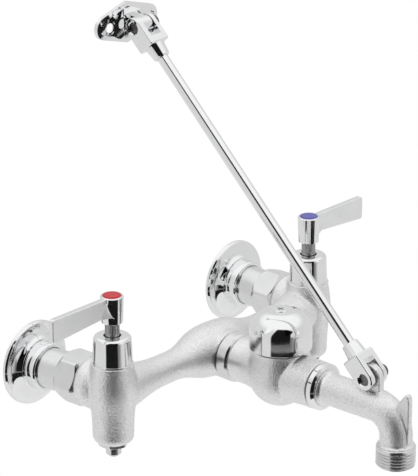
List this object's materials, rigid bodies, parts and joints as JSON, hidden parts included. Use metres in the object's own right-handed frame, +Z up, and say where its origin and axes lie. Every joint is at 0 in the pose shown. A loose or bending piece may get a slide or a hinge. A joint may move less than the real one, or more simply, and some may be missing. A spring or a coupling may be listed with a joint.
{
  "type": "utility sink faucet",
  "caption": "Wall-mounted service sink faucet with lever handles, vacuum breaker, hose-threaded spout with pail hook, and a brace rod to a wall bracket.",
  "frame": {"origin": "on the finished wall, midway between the two supply axes", "axes": "+X along the wall to the cold side, +Y into the wall, +Z up"},
  "size_m": [0.3192, 0.2488, 0.2847],
  "materials": {
    "polished_chrome": "bright polished chrome plate",
    "satin_chrome": "half-bright chrome plate over turned brass",
    "cast_chrome": "rough chrome plate over sand-cast brass",
    "brass": "machined brass",
    "steel": "turned stainless steel",
    "ceramic": null,
    "black_rubber": "black rubber",
    "black_plastic": "moulded black plastic",
    "fibre": "pressed red-brown fibre",
    "red_plastic": "translucent red",
    "blue_plastic": "translucent blue"
  },
  "bodies": {
    "faucet": {"hot_wall_flange": "polished_chrome", "hot_supply_shank": "satin_chrome", "hot_union_nut": "satin_chrome", "hot_union_washer": "fibre", "hot_bonnet": "polished_chrome", "hot_cartridge": "brass", "hot_seat_gasket": "black_rubber", "hot_fixed_disc": "ceramic", "hot_stem_ring": "black_rubber", "hot_stop_bushing": "satin_chrome", "cold_wall_flange": "polished_chrome", "cold_supply_shank": "satin_chrome", "cold_union_nut": "satin_chrome", "cold_union_washer": "fibre", "cold_bonnet": "polished_chrome", "cold_cartridge": "brass", "cold_seat_gasket": "black_rubber", "cold_fixed_disc": "ceramic", "cold_stem_ring": "black_rubber", "cold_stop_bushing": "satin_chrome", "yoke_body": "cast_chrome", "coupling_nut": "satin_chrome", "coupling_gasket": "black_rubber", "breaker_body": "cast_chrome", "breaker_guide": "brass", "breaker_cap": "polished_chrome", "cap_screw": "polished_chrome", "spout_nut": "polished_chrome", "spout_gasket": "black_rubber", "spout": "cast_chrome"},
    "hot_lever": {"hot_stem": "steel", "hot_moving_disc": "ceramic", "hot_handle": "polished_chrome", "hot_handle_screw": "steel", "hot_index_button": "red_plastic"},
    "cold_lever": {"cold_stem": "steel", "cold_moving_disc": "ceramic", "cold_handle": "polished_chrome", "cold_handle_screw": "steel", "cold_index_button": "blue_plastic"},
    "hot_stop": {"hot_stop_stem": "satin_chrome", "hot_stop_washer": "black_rubber"},
    "cold_stop": {"cold_stop_stem": "satin_chrome", "cold_stop_washer": "black_rubber"},
    "float": {"breaker_float": "black_plastic", "float_seal": "black_rubber"},
    "brace": {"lower_clevis": "polished_chrome", "lower_pin": "steel", "brace_rod": "polished_chrome", "upper_clevis": "polished_chrome", "upper_pin": "steel"},
    "bracket": {"wall_bracket": "polished_chrome"}
  },
  "joints": [
    {"name": "hot_lever_turn", "type": "hinge", "parent": "faucet", "child": "hot_lever", "pos_m": [-0.1016, -0.0734, 0.045], "axis": [0, 0, 1], "range_deg": [0, 90]},
    {"name": "cold_lever_turn", "type": "hinge", "parent": "faucet", "child": "cold_lever", "pos_m": [0.1016, -0.0734, 0.045], "axis": [0, 0, 1], "range_deg": [-90, 0]},
    {"name": "hot_stop_turn", "type": "hinge", "parent": "faucet", "child": "hot_stop", "pos_m": [-0.1016, -0.0734, -0.04], "axis": [0, 0, 1], "continuous": true},
    {"name": "cold_stop_turn", "type": "hinge", "parent": "faucet", "child": "cold_stop", "pos_m": [0.1016, -0.0734, -0.04], "axis": [0, 0, 1], "continuous": true},
    {"name": "float_rise", "type": "slide", "parent": "faucet", "child": "float", "axis": [0, 0, 1], "range_m": [0, 0.004]},
    {"name": "brace_swing", "type": "hinge", "parent": "faucet", "child": "brace", "pos_m": [0, -0.2132, 0.0166], "axis": [0.9995, 0.0222, 0.0231], "range_deg": [0, 60]},
    {"name": "bracket_tilt", "type": "hinge", "parent": "brace", "child": "bracket", "pos_m": [-0.0091, -0.0161, 0.2217], "axis": [0.9995, 0.0222, 0.0231], "range_deg": [0, 90]}
  ]
}
